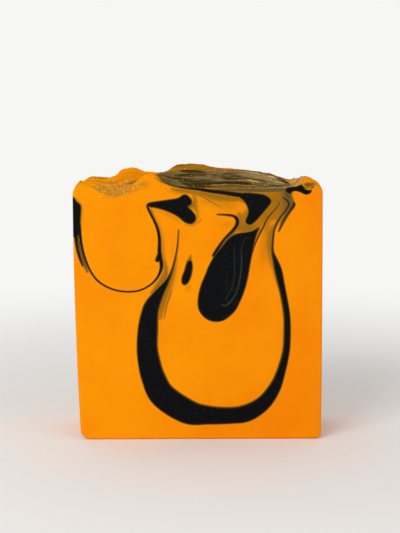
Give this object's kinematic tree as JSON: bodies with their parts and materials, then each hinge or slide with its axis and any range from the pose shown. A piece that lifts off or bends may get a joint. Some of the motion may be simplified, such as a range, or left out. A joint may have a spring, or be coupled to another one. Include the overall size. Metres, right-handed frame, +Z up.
{
  "type": "bar of soap",
  "caption": "Upright slice of handmade loaf soap with a spoon-worked top and a dark pour swirled through its cut faces.",
  "frame": {"origin": "middle of the slice's foot, under the middle of its bounding box", "axes": "+Z up from the foot to the spoon-worked top; +X to the right along the cut face; -Y out of the front cut face, so the thickness runs along Y"},
  "size_m": [0.0776, 0.026, 0.0858],
  "materials": {
    "soap": "satin, waxy handmade soap, orange with a black pour and a rough mica-dusted top"
  },
  "bodies": {
    "root": {"soap_bar": "soap"}
  },
  "joints": []
}
